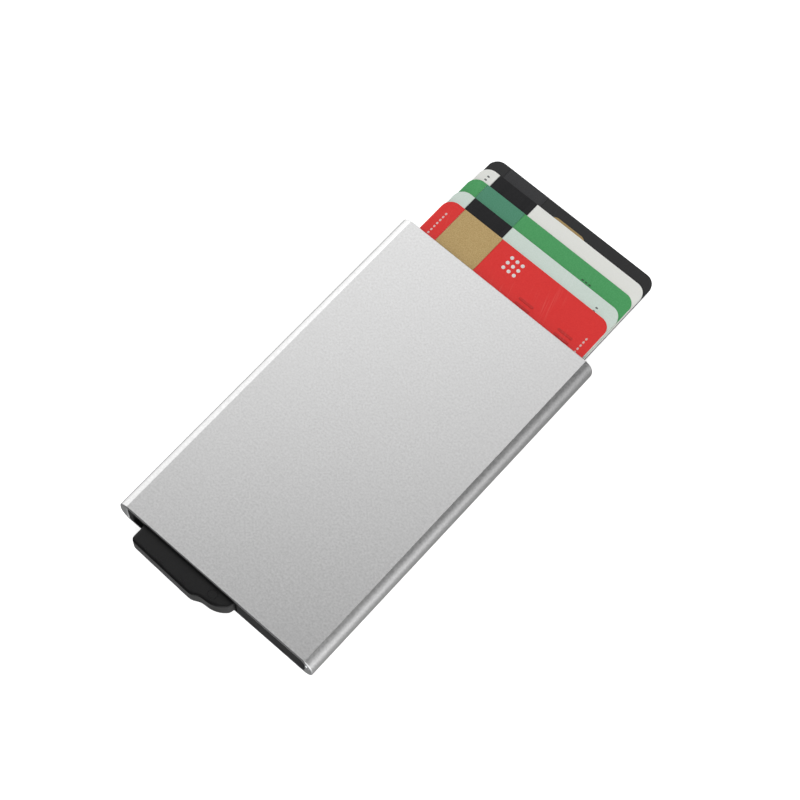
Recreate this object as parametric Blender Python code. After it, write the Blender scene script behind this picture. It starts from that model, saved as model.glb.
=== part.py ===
"""Pop up card holder: an extruded aluminium sleeve whose stepped lever fans out five cards.

Metres, +Z up. +Y runs to the mouth where the cards come out, +X across the width.
The origin is the centre of the sleeve's back face, on which the holder lies.
At rest the lever is pressed in and the cards stand fanned out, as in use.
"""
import math

import bmesh
import bpy

# Bank card, ISO ID-1. It sets the sleeve's inside.
CARD_WIDTH = 0.05398
CARD_LENGTH = 0.0856
CARD_THICK = 0.00076
CARD_CORNER = 0.00318
CARD_PITCH = 0.001
CARD_COUNT = 5
CARD_SIDE_PLAY = 0.0003
STRIPE_FROM_EDGE = 0.0053
STRIPE_WIDTH = 0.0126
STRIPE_THICK = 0.0001
CHIP_FROM_END = 0.0092
CHIP_FROM_EDGE = 0.0184
CHIP_LENGTH = 0.0126
CHIP_WIDTH = 0.0114
CHIP_CORNER = 0.0014
CHIP_THICK = 0.00025
INLAY_SIDE_GAP = 0.0001
INLAY_BED_GAP = 0.00003

# Sleeve: one aluminium extrusion, cut to length. The mechanism fills it below the stowed cards.
FACE_WALL = 0.0008
SIDE_WALL = 0.00255
CREASE_FROM_SIDE = 0.00255
CAVITY_CORNER = 0.0012
RAIL_TILT = math.radians(17)
RAIL_TOP_HANDLE_SHARE = 0.745
RAIL_SIDE_HANDLE_SHARE = 0.561
RIM_BREAK = 0.0002
STOWED_CARD_DEPTH = 0.0007
MECHANISM_LENGTH = 0.0177

# Felt strips on the two inner faces near the mouth.
FELT_THICK = 0.0008
FELT_GAP = 0.00012
FELT_LENGTH = 0.018
FELT_WIDTH_SHARE = 0.167
FELT_OFFSET_SHARE = 0.296
FELT_FROM_MOUTH = 0.0015
FELT_CORNER = 0.0012

# End frame and its cover: ABS mouldings that hold the pin and guide the cards.
FIT_GAP = 0.0001
WEB_THICK = 0.00055
WEB_SHORT_OF_CARDS = 0.0017
END_WALL = 0.0018
SLOT_GAP = 0.0003
ARM_GAP = 0.0003
ARM_WIDTH = 0.00095
ARM_FROM_WALL = 0.00041
ARM_SHORT_OF_MOUTH = 0.004
ARM_EDGE_GAP = 0.0004
ARM_FROM_HUB = 0.0008
CHEEK_WIDTH = 0.0015
CHEEK_THICK = 0.0011
BOSS_RADIUS = 0.003
BOSS_GAP = 0.00015
COVER_GAP = 0.00015
POST_RADIUS = 0.0012
OUTER_POST_FROM_WALL = 0.00415
OUTER_POST_FROM_END = 0.0044
INNER_POST_FROM_WALL = 0.0014
INNER_POST_FROM_SLOT = 0.0035

# Pivot pin, a plain steel dowel.
PIN_RADIUS = 0.00125
PIN_GAP = 0.00015
PIN_CHAMFER = 0.0002

# Lever: a trigger outside the sleeve, a hub on the pin and one finger for each card.
LEVER_SWING = math.radians(43)
LEVER_SIDE_GAP = 0.00015
HUB_RADIUS = 0.0032
HUB_FROM_WALL = 0.00035
HUB_FROM_END = 0.0014
SEAT_DEPTH = 0.00095
SEAT_CLEARANCE = 0.0003
ROOT_LEFT = 0.0018
STEP_CLEARANCE = 0.0002
FINGER_TIP_RADIUS = 0.0015
FINGER_FROM_ARM = 0.00101
FINGER_LAG_SHARE = 0.0436
FINGER_NOSE = 0.0026
FINGER_HEEL = 0.001
FINGER_DRAFT = 0.00004
TRIGGER_INSET = 0.0023
TRIGGER_RADIUS_SHARE = 0.64
TRIGGER_PEAK_SHARE = 0.665
TRIGGER_SHOULDER_SHARE = 0.805
SHOULDER_HANDLE_SHARE = 0.45
NOSE_HANDLE_SHARES = (0.24, 0.58)
TRIGGER_END_REACH = 0.00485
TRIGGER_PEAK_REACH = 0.00538
TRIGGER_SHOULDER_REACH = 0.0041
TRIGGER_NOSE_REACH = 0.0015
TRIGGER_CORNER = 0.0012
TRIGGER_ROUNDING = 0.0009
WEDGE_LIP = 0.0022

# Drawing: how far a cutter runs past the face it cuts, how finely curves are stepped,
# and the angles that tell a flat seam from a corner.
OVERRUN = 0.001
WELD_DISTANCE = 0.000002
CURVE_STEPS = 8
ROUND_STEPS = 40
FLAT_ANGLE = math.radians(1)
SMOOTH_ANGLE = math.radians(35)
CORNER_ANGLE = math.radians(40)

# The sleeve's inside and outside, from the cards, the guides and the felt.
GUIDE_INNER = CARD_WIDTH / 2 + CARD_SIDE_PLAY + ARM_GAP
CAVITY_HALF = GUIDE_INNER + ARM_WIDTH + ARM_FROM_WALL
SLEEVE_WIDTH = 2 * (CAVITY_HALF + SIDE_WALL)
STACK_THICK = CARD_THICK + (CARD_COUNT - 1) * CARD_PITCH
SLEEVE_THICK = STACK_THICK + 2 * (FELT_GAP + FELT_THICK + FACE_WALL)
SLEEVE_LENGTH = STOWED_CARD_DEPTH + CARD_LENGTH + MECHANISM_LENGTH
BOTTOM = -SLEEVE_LENGTH / 2
MOUTH = SLEEVE_LENGTH / 2
MIDDLE = SLEEVE_THICK / 2
CAVITY_LOW = FACE_WALL
CAVITY_HIGH = SLEEVE_THICK - FACE_WALL

# The end frame, the cover and the pin between them.
WEB_TOP = BOTTOM + MECHANISM_LENGTH - WEB_SHORT_OF_CARDS
WEB_LOW = CAVITY_LOW + FIT_GAP
WEB_HIGH = WEB_LOW + WEB_THICK
COVER_HIGH = CAVITY_HIGH - FIT_GAP
COVER_LOW = COVER_HIGH - WEB_THICK
ARM_TOP = COVER_LOW - FIT_GAP
ARM_LOW = CAVITY_LOW + ARM_EDGE_GAP
PIVOT_FROM_END = HUB_RADIUS + HUB_FROM_END
PIVOT = (HUB_RADIUS + HUB_FROM_WALL - CAVITY_HALF, BOTTOM + PIVOT_FROM_END)

# The lever's layers, and its reach from the pin to the tip of the longest finger.
LEVER_LOW = WEB_HIGH + LEVER_SIDE_GAP
LEVER_HIGH = COVER_LOW - LEVER_SIDE_GAP
HUB_LOW = LEVER_LOW + SEAT_DEPTH
HUB_HIGH = LEVER_HIGH - SEAT_DEPTH
LONGEST_REACH = GUIDE_INNER - FINGER_FROM_ARM - FINGER_TIP_RADIUS - PIVOT[0]
TRIGGER_RADIUS = LONGEST_REACH * TRIGGER_RADIUS_SHARE
SLOT_RIGHT = PIVOT[0] + TRIGGER_RADIUS + SLOT_GAP

# Height of the finger tips above the pin with the lever out. A tip rises ahead of its evenly
# sliding card in the middle of the swing, so it starts below the card by that lead.
TIP_HEIGHT = (MECHANISM_LENGTH - PIVOT_FROM_END - FINGER_TIP_RADIUS
              - LONGEST_REACH * FINGER_LAG_SHARE)

# Looks of the fixed pieces and the lever: colour, roughness, metallic.
LOOKS = {
    "sleeve": ("#B9B9BA", 0.42, 1),
    "end_frame": ("#262627", 0.5, 0),
    "mechanism_cover": ("#242425", 0.5, 0),
    "pivot_pin": ("#B0B2B4", 0.25, 1),
    "trigger_lever": ("#28282A", 0.45, 0),
    "felt": ("#1C1C1E", 0.95, 0),
    "chip": ("#C9A44C", 0.25, 1),
}
CARD_ROUGHNESS = 0.35
STRIPE_ROUGHNESS = 0.3

# Back to front: name, finger reach as a share of the longest, how far in the stripe lies as a
# share of the widest margin, card colour, stripe colour.
CARDS = (
    ("black_card", 1, 1, "#343434", "#1E1E20"),
    ("white_card", 0.8853, 0.881, "#E4E6E0", "#262628"),
    ("green_card", 0.7502, 0.815, "#489B5C", "#4E8C70"),
    ("mint_card", 0.5904, 0.883, "#CDDED2", "#262628"),
    ("red_card", 0.4553, 1, "#D63834", "#B8A068"),
)


def card_travel(reach_share):
    """How far the whole swing lifts the card whose finger has this share of the longest reach."""
    lift = LONGEST_REACH * reach_share * math.sin(LEVER_SWING)
    return lift - TIP_HEIGHT * (1 - math.cos(LEVER_SWING))


def card_middle(index):
    return MIDDLE + (index - (CARD_COUNT - 1) / 2) * CARD_PITCH


# Outline helpers: points in a plane, as lists of pairs.

def arc(centre, radius, start, end, steps=CURVE_STEPS):
    turn = (end - start) / steps
    return [(centre[0] + radius * math.cos(start + turn * i),
             centre[1] + radius * math.sin(start + turn * i)) for i in range(steps + 1)]


def bend(first, handle_a, handle_b, last, steps=CURVE_STEPS):
    points = []
    for i in range(steps + 1):
        t = i / steps
        shares = ((1 - t) ** 3, 3 * t * (1 - t) ** 2, 3 * t * t * (1 - t), t ** 3)
        corners = (first, handle_a, handle_b, last)
        points.append(tuple(sum(s * c[axis] for s, c in zip(shares, corners)) for axis in (0, 1)))
    return points


def turned(points, angle):
    c, s = math.cos(angle), math.sin(angle)
    return [(x * c - y * s, x * s + y * c) for x, y in points]


def shifted(points, move):
    return [(x + move[0], y + move[1]) for x, y in points]


def round_box(x0, y0, x1, y1, radius, steps=CURVE_STEPS):
    quarter = math.pi / 2
    return (arc((x1 - radius, y0 + radius), radius, -quarter, 0, steps)
            + arc((x1 - radius, y1 - radius), radius, 0, quarter, steps)
            + arc((x0 + radius, y1 - radius), radius, quarter, 2 * quarter, steps)
            + arc((x0 + radius, y0 + radius), radius, 2 * quarter, 3 * quarter, steps))


# Solid helpers.

def clear_scene():
    for obj in list(bpy.data.objects):
        bpy.data.objects.remove(obj, do_unlink=True)
    holder = bpy.data.collections.new("pop_up_card_holder")
    bpy.context.scene.collection.children.link(holder)
    return holder


def linear(hex_colour):
    channels = [int(hex_colour[i:i + 2], 16) / 255 for i in (1, 3, 5)]
    return [c / 12.92 if c <= 0.04045 else ((c + 0.055) / 1.055) ** 2.4 for c in channels] + [1]


def material(name, hex_colour, roughness, metallic):
    finish = bpy.data.materials.new(name)
    finish.use_nodes = True
    shader = finish.node_tree.nodes["Principled BSDF"]
    shader.inputs["Base Color"].default_value = linear(hex_colour)
    shader.inputs["Roughness"].default_value = roughness
    shader.inputs["Metallic"].default_value = metallic
    finish.diffuse_color = linear(hex_colour)
    return finish


def look(key, name=None):
    return material(name or key, *LOOKS[key])


def plate(name, outlines, low, high):
    """A flat outline, with any holes as further outlines, made solid between two heights."""
    curve = bpy.data.curves.new(name, "CURVE")
    curve.dimensions = "2D"
    curve.fill_mode = "BOTH"
    curve.extrude = (high - low) / 2
    for outline in outlines:
        spline = curve.splines.new("POLY")
        spline.points.add(len(outline) - 1)
        for point, (x, y) in zip(spline.points, outline):
            point.co = (x, y, 0, 1)
        spline.use_cyclic_u = True
    drawn = bpy.data.objects.new(name, curve)
    HOLDER.objects.link(drawn)
    drawn.location.z = (high + low) / 2
    bpy.context.view_layer.update()
    return solid_from(drawn)


def solid_from(drawn):
    """The mesh of an object as it is drawn, in world space, with its caps welded to its sides."""
    name = drawn.name
    depsgraph = bpy.context.evaluated_depsgraph_get()
    mesh = bpy.data.meshes.new_from_object(drawn.evaluated_get(depsgraph))
    mesh.transform(drawn.matrix_world)
    bpy.data.objects.remove(drawn)
    weld(mesh)
    solid = bpy.data.objects.new(name, mesh)
    solid.name = name
    HOLDER.objects.link(solid)
    return solid


def weld(mesh):
    """Merges points closer than the weld distance and drops slivers, which the next cut trips on."""
    welded = bmesh.new()
    welded.from_mesh(mesh)
    bmesh.ops.remove_doubles(welded, verts=welded.verts, dist=WELD_DISTANCE)
    bmesh.ops.dissolve_degenerate(welded, edges=welded.edges, dist=WELD_DISTANCE)
    welded.to_mesh(mesh)
    welded.free()


def section_bar(name, outline, start, end):
    """A section drawn in X and Z, run along Y from start to end."""
    bar = plate(name, outline, -end, -start)
    for vertex in bar.data.vertices:
        x, z, depth = vertex.co
        vertex.co = (x, -depth, z)
    return bar


def rod(name, centre, radius, low, high):
    bpy.ops.mesh.primitive_cylinder_add(vertices=ROUND_STEPS, radius=radius, depth=high - low,
                                        location=(centre[0], centre[1], (low + high) / 2))
    return own(bpy.context.active_object, name)


def block(name, low_corner, high_corner):
    bpy.ops.mesh.primitive_cube_add(size=1, location=[(a + b) / 2 for a, b in zip(low_corner, high_corner)])
    cube = bpy.context.active_object
    cube.scale = [b - a for a, b in zip(low_corner, high_corner)]
    return own(cube, name)


def own(obj, name):
    """Names a new primitive, moves it to the holder's collection and bakes its place in its mesh."""
    obj.name = name
    for collection in list(obj.users_collection):
        collection.objects.unlink(obj)
    HOLDER.objects.link(obj)
    bpy.context.view_layer.update()
    return solid_from(obj)


def combine(target, operation, *others):
    for other in others:
        step = target.modifiers.new(operation.title(), "BOOLEAN")
        step.operation = operation
        step.solver = "EXACT"
        step.object = other
        bpy.context.view_layer.update()
        depsgraph = bpy.context.evaluated_depsgraph_get()
        result = bpy.data.meshes.new_from_object(target.evaluated_get(depsgraph))
        target.modifiers.clear()
        weld(result)
        target.data = result
        bpy.data.objects.remove(other)
    return target


def bevel_where(obj, wanted, width, segments):
    """Bevels the corner edges whose two ends the test accepts."""
    shape = bmesh.new()
    shape.from_mesh(obj.data)
    bmesh.ops.dissolve_limit(shape, angle_limit=FLAT_ANGLE, verts=shape.verts, edges=shape.edges)
    edges = [e for e in shape.edges if e.calc_face_angle(0) > CORNER_ANGLE
             and all(wanted(v.co) for v in e.verts)]
    bmesh.ops.bevel(shape, geom=edges, offset=width, segments=segments, affect="EDGES",
                    profile=0.5, clamp_overlap=True)
    shape.to_mesh(obj.data)
    shape.free()
    weld(obj.data)


def finish(obj, surface, origin=(0, 0, 0)):
    """Gives a finished solid its material, its origin and its shading."""
    obj.data.materials.clear()
    obj.data.materials.append(surface)
    for vertex in obj.data.vertices:
        vertex.co = [c - o for c, o in zip(vertex.co, origin)]
    obj.location = origin
    obj.data.shade_smooth()
    obj.data.set_sharp_from_angle(angle=SMOOTH_ANGLE)
    return obj


# Sleeve

def sleeve_outline():
    """The outside: two flat faces, each with a crease where the bowed side starts."""
    crease = (SLEEVE_WIDTH / 2 - CREASE_FROM_SIDE, SLEEVE_THICK)
    side = (SLEEVE_WIDTH / 2, MIDDLE)
    handle = CREASE_FROM_SIDE * RAIL_TOP_HANDLE_SHARE
    top_handle = (crease[0] + handle * math.cos(RAIL_TILT), crease[1] - handle * math.sin(RAIL_TILT))
    side_handle = (side[0], side[1] + MIDDLE * RAIL_SIDE_HANDLE_SHARE)
    upper = bend(crease, top_handle, side_handle, side)
    right = upper + [(x, SLEEVE_THICK - z) for x, z in reversed(upper[:-1])]
    return right + [(-x, z) for x, z in reversed(right)]


def make_sleeve():
    cavity = round_box(-CAVITY_HALF, CAVITY_LOW, CAVITY_HALF, CAVITY_HIGH, CAVITY_CORNER, CURVE_STEPS // 2)
    sleeve = section_bar("sleeve", [sleeve_outline(), cavity], BOTTOM, MOUTH)
    bevel_where(sleeve, lambda co: abs(abs(co.y) - MOUTH) < RIM_BREAK / 2, RIM_BREAK, 1)
    return finish(sleeve, look("sleeve"))


# End frame, cover and pin

def post_places():
    outer = (CAVITY_HALF - OUTER_POST_FROM_WALL, BOTTOM + OUTER_POST_FROM_END)
    inner = (SLOT_RIGHT + INNER_POST_FROM_SLOT, BOTTOM + END_WALL + INNER_POST_FROM_WALL)
    return outer, inner


def web_half_width():
    """Half the width of the cavity at the height of the web's outer face, less the fit."""
    drop = CAVITY_CORNER - FIT_GAP
    return CAVITY_HALF - CAVITY_CORNER + math.sqrt(CAVITY_CORNER ** 2 - drop ** 2) - FIT_GAP


def make_end_frame():
    half = web_half_width()
    arm_outer = GUIDE_INNER + ARM_WIDTH
    arm_end = MOUTH - ARM_SHORT_OF_MOUTH
    left_arm_start = PIVOT[1] + HUB_RADIUS + ARM_FROM_HUB
    wall_outline = ([(SLOT_RIGHT, WEB_LOW)]
                    + round_box(SLOT_RIGHT, WEB_LOW, CAVITY_HALF - FIT_GAP, COVER_HIGH,
                                CAVITY_CORNER - FIT_GAP, CURVE_STEPS // 2)[:CURVE_STEPS + 2]
                    + [(SLOT_RIGHT, COVER_HIGH)])
    frame = plate("end_frame", [[(-half, BOTTOM), (half, BOTTOM), (half, WEB_TOP), (-half, WEB_TOP)]],
                  WEB_LOW, WEB_HIGH)
    wall = section_bar("end_wall", [wall_outline], BOTTOM, BOTTOM + END_WALL)
    right_arm = block("right_arm", (GUIDE_INNER, BOTTOM + END_WALL / 2, ARM_LOW),
                      (arm_outer, arm_end, ARM_TOP))
    left_arm = block("left_arm", (-arm_outer, left_arm_start, ARM_LOW),
                     (-GUIDE_INNER, arm_end, ARM_TOP))
    cheek = block("cheek", (-arm_outer, BOTTOM, ARM_LOW),
                  (CHEEK_WIDTH - arm_outer, BOTTOM + CHEEK_THICK, ARM_TOP))
    boss = rod("boss", PIVOT, BOSS_RADIUS, ARM_LOW, HUB_LOW - BOSS_GAP)
    posts = [rod("post", place, POST_RADIUS, ARM_LOW, COVER_HIGH) for place in post_places()]
    combine(frame, "UNION", wall, right_arm, left_arm, cheek, boss, *posts)
    combine(frame, "DIFFERENCE", rod("pin_hole", PIVOT, PIN_RADIUS + PIN_GAP, WEB_LOW - OVERRUN, MIDDLE))
    return finish(frame, look("end_frame"))


def make_cover():
    half = web_half_width()
    wall_top = BOTTOM + END_WALL + COVER_GAP
    slot_side = SLOT_RIGHT - COVER_GAP
    outline = [(-half, BOTTOM), (slot_side, BOTTOM), (slot_side, wall_top), (half, wall_top),
               (half, WEB_TOP), (-half, WEB_TOP)]
    cover = plate("mechanism_cover", [outline], COVER_LOW, COVER_HIGH)
    combine(cover, "UNION", rod("boss", PIVOT, BOSS_RADIUS, HUB_HIGH + BOSS_GAP, COVER_LOW + WEB_THICK / 2))
    holes = [rod("hole", place, POST_RADIUS + PIN_GAP, MIDDLE, COVER_HIGH + OVERRUN)
             for place in post_places()]
    pin_hole = rod("pin_hole", PIVOT, PIN_RADIUS + PIN_GAP, MIDDLE, COVER_HIGH + OVERRUN)
    combine(cover, "DIFFERENCE", pin_hole, *holes)
    return finish(cover, look("mechanism_cover"))


def make_pin():
    pin = rod("pivot_pin", PIVOT, PIN_RADIUS, WEB_LOW, COVER_HIGH)
    bevel_where(pin, lambda co: True, PIN_CHAMFER, 1)
    return finish(pin, look("pivot_pin"), (PIVOT[0], PIVOT[1], MIDDLE))


# Lever

def finger_outline(reach, draft):
    """One finger about the pin, drawn with the lever swung out, then turned to the pressed-in place."""
    radius = FINGER_TIP_RADIUS - draft
    top = TIP_HEIGHT + radius
    end = reach + radius
    lip = -PIVOT_FROM_END + WEDGE_LIP
    arc_end = math.sqrt(TRIGGER_RADIUS ** 2 - lip ** 2)
    tail = lip - FINGER_HEEL + draft
    left = turned([(draft - ROOT_LEFT, 0)], -LEVER_SWING)[0]
    rise = (top - left[1]) / math.cos(LEVER_SWING)
    upper_left = (left[0] + rise * math.sin(LEVER_SWING), top)
    points = [(TRIGGER_INSET + draft, tail), left, upper_left]
    points += arc((reach, TIP_HEIGHT), radius, math.pi / 2, 0)
    if end < TRIGGER_RADIUS:
        points.append((end, tail))
    else:
        heel = (TRIGGER_RADIUS + FINGER_HEEL, FINGER_HEEL + draft)
        nose = (LONGEST_REACH + FINGER_TIP_RADIUS, TIP_HEIGHT - FINGER_NOSE + draft)
        slope = (nose[1] - heel[1]) / (nose[0] - heel[0])
        points.append((end, heel[1] + slope * (end - heel[0])))
        points += [heel, (arc_end - draft, lip), (arc_end - FINGER_HEEL - draft, tail)]
    return shifted(turned(points, LEVER_SWING), PIVOT)


def trigger_outline():
    """The finger pad outside the sleeve, and the round-edged wedge behind it."""
    end = -PIVOT_FROM_END - TRIGGER_END_REACH
    peak = (TRIGGER_RADIUS * TRIGGER_PEAK_SHARE, -PIVOT_FROM_END - TRIGGER_PEAK_REACH)
    shoulder = (TRIGGER_RADIUS * TRIGGER_SHOULDER_SHARE, -PIVOT_FROM_END - TRIGGER_SHOULDER_REACH)
    nose_angle = math.asin(-(PIVOT_FROM_END + TRIGGER_NOSE_REACH) / TRIGGER_RADIUS)
    nose = (TRIGGER_RADIUS * math.cos(nose_angle), TRIGGER_RADIUS * math.sin(nose_angle))
    lip = -PIVOT_FROM_END + WEDGE_LIP
    lip_angle = LEVER_SWING + math.asin(lip / TRIGGER_RADIUS)
    run = (shoulder[0] - peak[0]) / 2
    across, up = nose[0] - shoulder[0], nose[1] - shoulder[1]
    shoulder_handle = (shoulder[0] + across * SHOULDER_HANDLE_SHARE, shoulder[1])
    nose_handle = (nose[0] - across * NOSE_HANDLE_SHARES[0], nose[1] - up * NOSE_HANDLE_SHARES[1])
    corner = (TRIGGER_INSET + TRIGGER_CORNER, end + TRIGGER_CORNER)
    curve = bend(shoulder, shoulder_handle, nose_handle, nose)
    sweep = arc((0, 0), TRIGGER_RADIUS, nose_angle, lip_angle, 2 * CURVE_STEPS)
    points = [(TRIGGER_INSET, 0), (TRIGGER_INSET, nose[1])]
    points += arc(corner, TRIGGER_CORNER, math.pi, 1.5 * math.pi, CURVE_STEPS // 2)
    points += bend(peak, (peak[0] + run, peak[1]), (shoulder[0] - run, shoulder[1]), shoulder)
    points += curve[1:-1]
    points += bend(curve[-2], nose, nose, sweep[1])[1:-1]
    points += sweep[1:]
    points += turned([(HUB_RADIUS, lip)], LEVER_SWING)
    return shifted(points, PIVOT)


def make_lever():
    lever = plate("trigger_lever", [trigger_outline()], LEVER_LOW, LEVER_HIGH)
    bevel_where(lever, lambda co: co.y < BOTTOM - TRIGGER_ROUNDING, TRIGGER_ROUNDING, 4)
    below = LEVER_LOW + FINGER_DRAFT
    for index, (_, reach_share, *_) in enumerate(CARDS):
        step_top = card_middle(index) + CARD_PITCH - CARD_THICK / 2 - STEP_CLEARANCE
        outline = finger_outline(LONGEST_REACH * reach_share, (index + 1) * FINGER_DRAFT)
        combine(lever, "UNION", plate("finger", [outline], below, step_top))
        below = step_top - STEP_CLEARANCE
    hub = rod("hub", PIVOT, HUB_RADIUS, LEVER_LOW + FINGER_DRAFT, LEVER_HIGH - FINGER_DRAFT)
    combine(lever, "UNION", hub)
    seat = BOSS_RADIUS + SEAT_CLEARANCE
    combine(lever, "DIFFERENCE",
            rod("seat", PIVOT, seat, LEVER_LOW - OVERRUN, HUB_LOW),
            rod("seat", PIVOT, seat, HUB_HIGH, LEVER_HIGH + OVERRUN),
            rod("eye", PIVOT, PIN_RADIUS + PIN_GAP, LEVER_LOW, LEVER_HIGH))
    return finish(lever, look("trigger_lever"), (PIVOT[0], PIVOT[1], MIDDLE))


# Cards

def make_card(index, name, reach_share, margin_share, colour, stripe_colour):
    """A card with its stripe towards the front and its contact chip on the back."""
    top = MOUTH - STOWED_CARD_DEPTH + card_travel(reach_share)
    place = (CARD_SIDE_PLAY, top - CARD_LENGTH / 2, card_middle(index))
    left = place[0] - CARD_WIDTH / 2
    low, high = place[2] - CARD_THICK / 2, place[2] + CARD_THICK / 2
    outline = round_box(left, top - CARD_LENGTH, left + CARD_WIDTH, top, CARD_CORNER)
    card = plate(name, [outline], low, high)
    stripe_left = left + STRIPE_FROM_EDGE * margin_share
    stripe_right = stripe_left + STRIPE_WIDTH
    groove = block("groove", (stripe_left - INLAY_SIDE_GAP, top - CARD_LENGTH - OVERRUN,
                              high - STRIPE_THICK - INLAY_BED_GAP),
                   (stripe_right + INLAY_SIDE_GAP, top + OVERRUN, high + OVERRUN))
    chip_box = (left + CHIP_FROM_EDGE, top - CHIP_FROM_END - CHIP_LENGTH,
                left + CHIP_FROM_EDGE + CHIP_WIDTH, top - CHIP_FROM_END)
    bed = (chip_box[0] - INLAY_SIDE_GAP, chip_box[1] - INLAY_SIDE_GAP,
           chip_box[2] + INLAY_SIDE_GAP, chip_box[3] + INLAY_SIDE_GAP)
    pocket = plate("pocket", [round_box(*bed, CHIP_CORNER + INLAY_SIDE_GAP, CURVE_STEPS // 2)],
                   low - OVERRUN, low + CHIP_THICK + INLAY_BED_GAP)
    combine(card, "DIFFERENCE", groove, pocket)
    finish(card, material(name, colour, CARD_ROUGHNESS, 0), place)
    stripe = block(name + "_stripe", (stripe_left, top - CARD_LENGTH, high - STRIPE_THICK),
                   (stripe_right, top, high))
    finish(stripe, material(name + "_stripe", stripe_colour, STRIPE_ROUGHNESS, 0), place)
    chip = plate(name + "_chip", [round_box(*chip_box, CHIP_CORNER, CURVE_STEPS // 2)],
                 low, low + CHIP_THICK)
    finish(chip, look("chip", name + "_chip"), place)


# Felt strips

def make_felts():
    felt = look("felt")
    end = MOUTH - FELT_FROM_MOUTH
    half = CARD_WIDTH * FELT_WIDTH_SHARE / 2
    for side, sign in (("left", -1), ("right", 1)):
        middle = sign * CARD_WIDTH * FELT_OFFSET_SHARE
        outline = round_box(middle - half, end - FELT_LENGTH, middle + half, end,
                            FELT_CORNER, CURVE_STEPS // 2)
        finish(plate("rear_" + side + "_felt", [outline], CAVITY_LOW, CAVITY_LOW + FELT_THICK), felt)
        finish(plate("front_" + side + "_felt", [outline], CAVITY_HIGH - FELT_THICK, CAVITY_HIGH), felt)


HOLDER = clear_scene()
make_sleeve()
make_end_frame()
make_cover()
make_pin()
make_lever()
for card_index, card in enumerate(CARDS):
    make_card(card_index, *card)
make_felts()
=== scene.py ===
import math

import bmesh
import bpy
from mathutils import Matrix, Vector


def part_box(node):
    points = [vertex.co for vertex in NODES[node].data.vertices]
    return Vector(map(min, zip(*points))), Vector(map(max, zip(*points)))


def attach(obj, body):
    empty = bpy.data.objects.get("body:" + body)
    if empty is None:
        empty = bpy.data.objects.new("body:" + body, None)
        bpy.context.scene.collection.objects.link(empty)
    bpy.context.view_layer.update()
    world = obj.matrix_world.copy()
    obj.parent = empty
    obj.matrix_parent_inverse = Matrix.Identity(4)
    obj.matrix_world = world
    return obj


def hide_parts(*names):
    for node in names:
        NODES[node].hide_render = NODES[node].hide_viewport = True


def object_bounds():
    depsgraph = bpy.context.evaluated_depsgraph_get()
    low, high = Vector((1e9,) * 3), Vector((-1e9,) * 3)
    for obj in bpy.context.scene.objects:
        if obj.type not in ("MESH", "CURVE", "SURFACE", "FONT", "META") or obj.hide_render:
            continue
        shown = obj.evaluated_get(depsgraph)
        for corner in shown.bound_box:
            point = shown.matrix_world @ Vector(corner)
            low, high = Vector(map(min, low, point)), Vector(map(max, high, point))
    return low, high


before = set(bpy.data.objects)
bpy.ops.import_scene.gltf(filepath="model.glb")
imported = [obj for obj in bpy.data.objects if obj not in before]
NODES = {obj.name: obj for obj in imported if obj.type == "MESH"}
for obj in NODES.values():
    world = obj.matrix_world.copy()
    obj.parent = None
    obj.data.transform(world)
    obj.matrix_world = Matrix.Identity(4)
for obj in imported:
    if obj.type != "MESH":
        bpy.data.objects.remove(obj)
CAD_BOX = [list(corner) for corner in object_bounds()]
MM = 0.001

# How far a cutter runs past what it cuts, and how close two corners lie to be merged.
OVERRUN = 1 * MM
WELD_DISTANCE = 0.002 * MM

# How edges are told apart. An upright one rises this many times as far as it runs.
STEEP = 1.5
# Faces turn at least this far at a chamfer and at a rim, and at most so far within a flat face.
CHAMFER_TURN = math.radians(30)
RIM_TURN = math.radians(60)
FLAT_TURN = math.radians(0.5)
# An edge that runs straight across the sleeve has both its ends this level.
LEVEL_WITHIN = 0.005 * MM

# Shading is smooth across edges that turn by less than these degrees.
SLEEVE_SMOOTH = 13
MOULDING_SMOOTH = 32
PIN_SMOOTH = 30
CARD_SMOOTH = 35
BAR_SMOOTH = 50

# Steps in the rounding of rims and of soft rims.
RIM_STEPS = 2
SOFT_RIM_STEPS = 3

# Sleeve: its softened end edges, the ends that handling has polished and that are painted brighter
# as a painted highlight, and the mark of the rack that held it while it was anodised.
END_ZONE = 51.5 * MM
END_ROUNDING = 0.07 * MM
POLISH_AND_HIGHLIGHT_FROM = 51.7 * MM
POLISH_AND_HIGHLIGHT_FULL = 51.8 * MM
RACK_MARK_RADIUS = 0.72 * MM
RACK_MARK_CENTRE = (30 * MM, -52.2 * MM, 6.1 * MM)

# The lever's thumb pad reaches a little into its arm, just under its surface, inside the sleeve's
# end. From there outwards its edges grow soft.
ARM_FROM = -52 * MM
PAD_UP_TO = -50.9 * MM
PAD_SUNK = 0.02 * MM
PAD_FADE = 1.2 * MM
PAD_VOXEL = 0.17 * MM
PAD_PASSES = 22
# Thumbs rub the pad from its outer edge to about 3 mm in.
RUBBED_EDGE = -57 * MM
RUBBED_UP_TO = -54 * MM
# The ring that an ejector pin leaves on the pad.
EJECTOR_CENTRE = (1.24 * MM, -53.8 * MM, 6.6 * MM)
EJECTOR_RADIUS = 1.2 * MM
EJECTOR_GROOVE = 0.07 * MM

# Felt: corner, rim, and the lumps that pressing leaves in it. Most of a lump's relief goes inwards.
FELT_CORNER = 1.2 * MM
FELT_CORNER_STEPS = 5
FELT_RIM = 0.18 * MM
FELT_VOXEL = 0.3 * MM
FELT_LUMP = 0.6 * MM
FELT_RELIEF = 0.09 * MM
FELT_INWARDS = 0.75

# Cards, with the corner that the card standard gives, and the beds cut for their stripes and chips.
CARDS = ("black_card", "white_card", "green_card", "mint_card", "red_card")
CARD_CORNER = 3.18 * MM
CARD_CORNER_STEPS = 14
CARD_RIM = 0.07 * MM
INLAY_SIDE_GAP = 0.1 * MM
INLAY_BED_GAP = 0.03 * MM
INLAY_RIM = 0.03 * MM

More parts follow.
